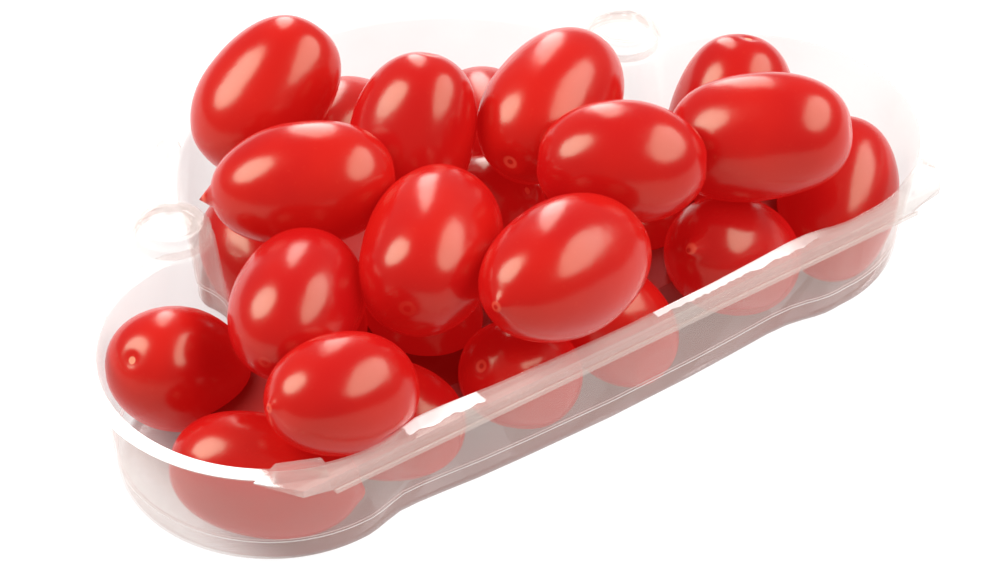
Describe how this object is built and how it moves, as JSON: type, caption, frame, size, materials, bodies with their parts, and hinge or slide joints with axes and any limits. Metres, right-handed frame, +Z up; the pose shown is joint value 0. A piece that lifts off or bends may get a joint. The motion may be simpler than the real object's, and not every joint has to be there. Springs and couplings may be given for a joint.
{
  "type": "punnet of cherry tomatoes",
  "caption": "Clear thermoformed punnet of three rounded lobes, heaped with plum-shaped cherry tomatoes.",
  "frame": {"origin": "on the surface the tray stands on, under the middle of the bounding box", "axes": "+Z up, +X along the straight hinge side, +Y from the hinge side to the back lobe"},
  "size_m": [0.2042, 0.1268, 0.0598],
  "materials": {
    "clear_plastic": "gloss",
    "tomato": "gloss"
  },
  "bodies": {
    "root": {"tray": "clear_plastic", "tomatoes": "tomato"}
  },
  "joints": []
}
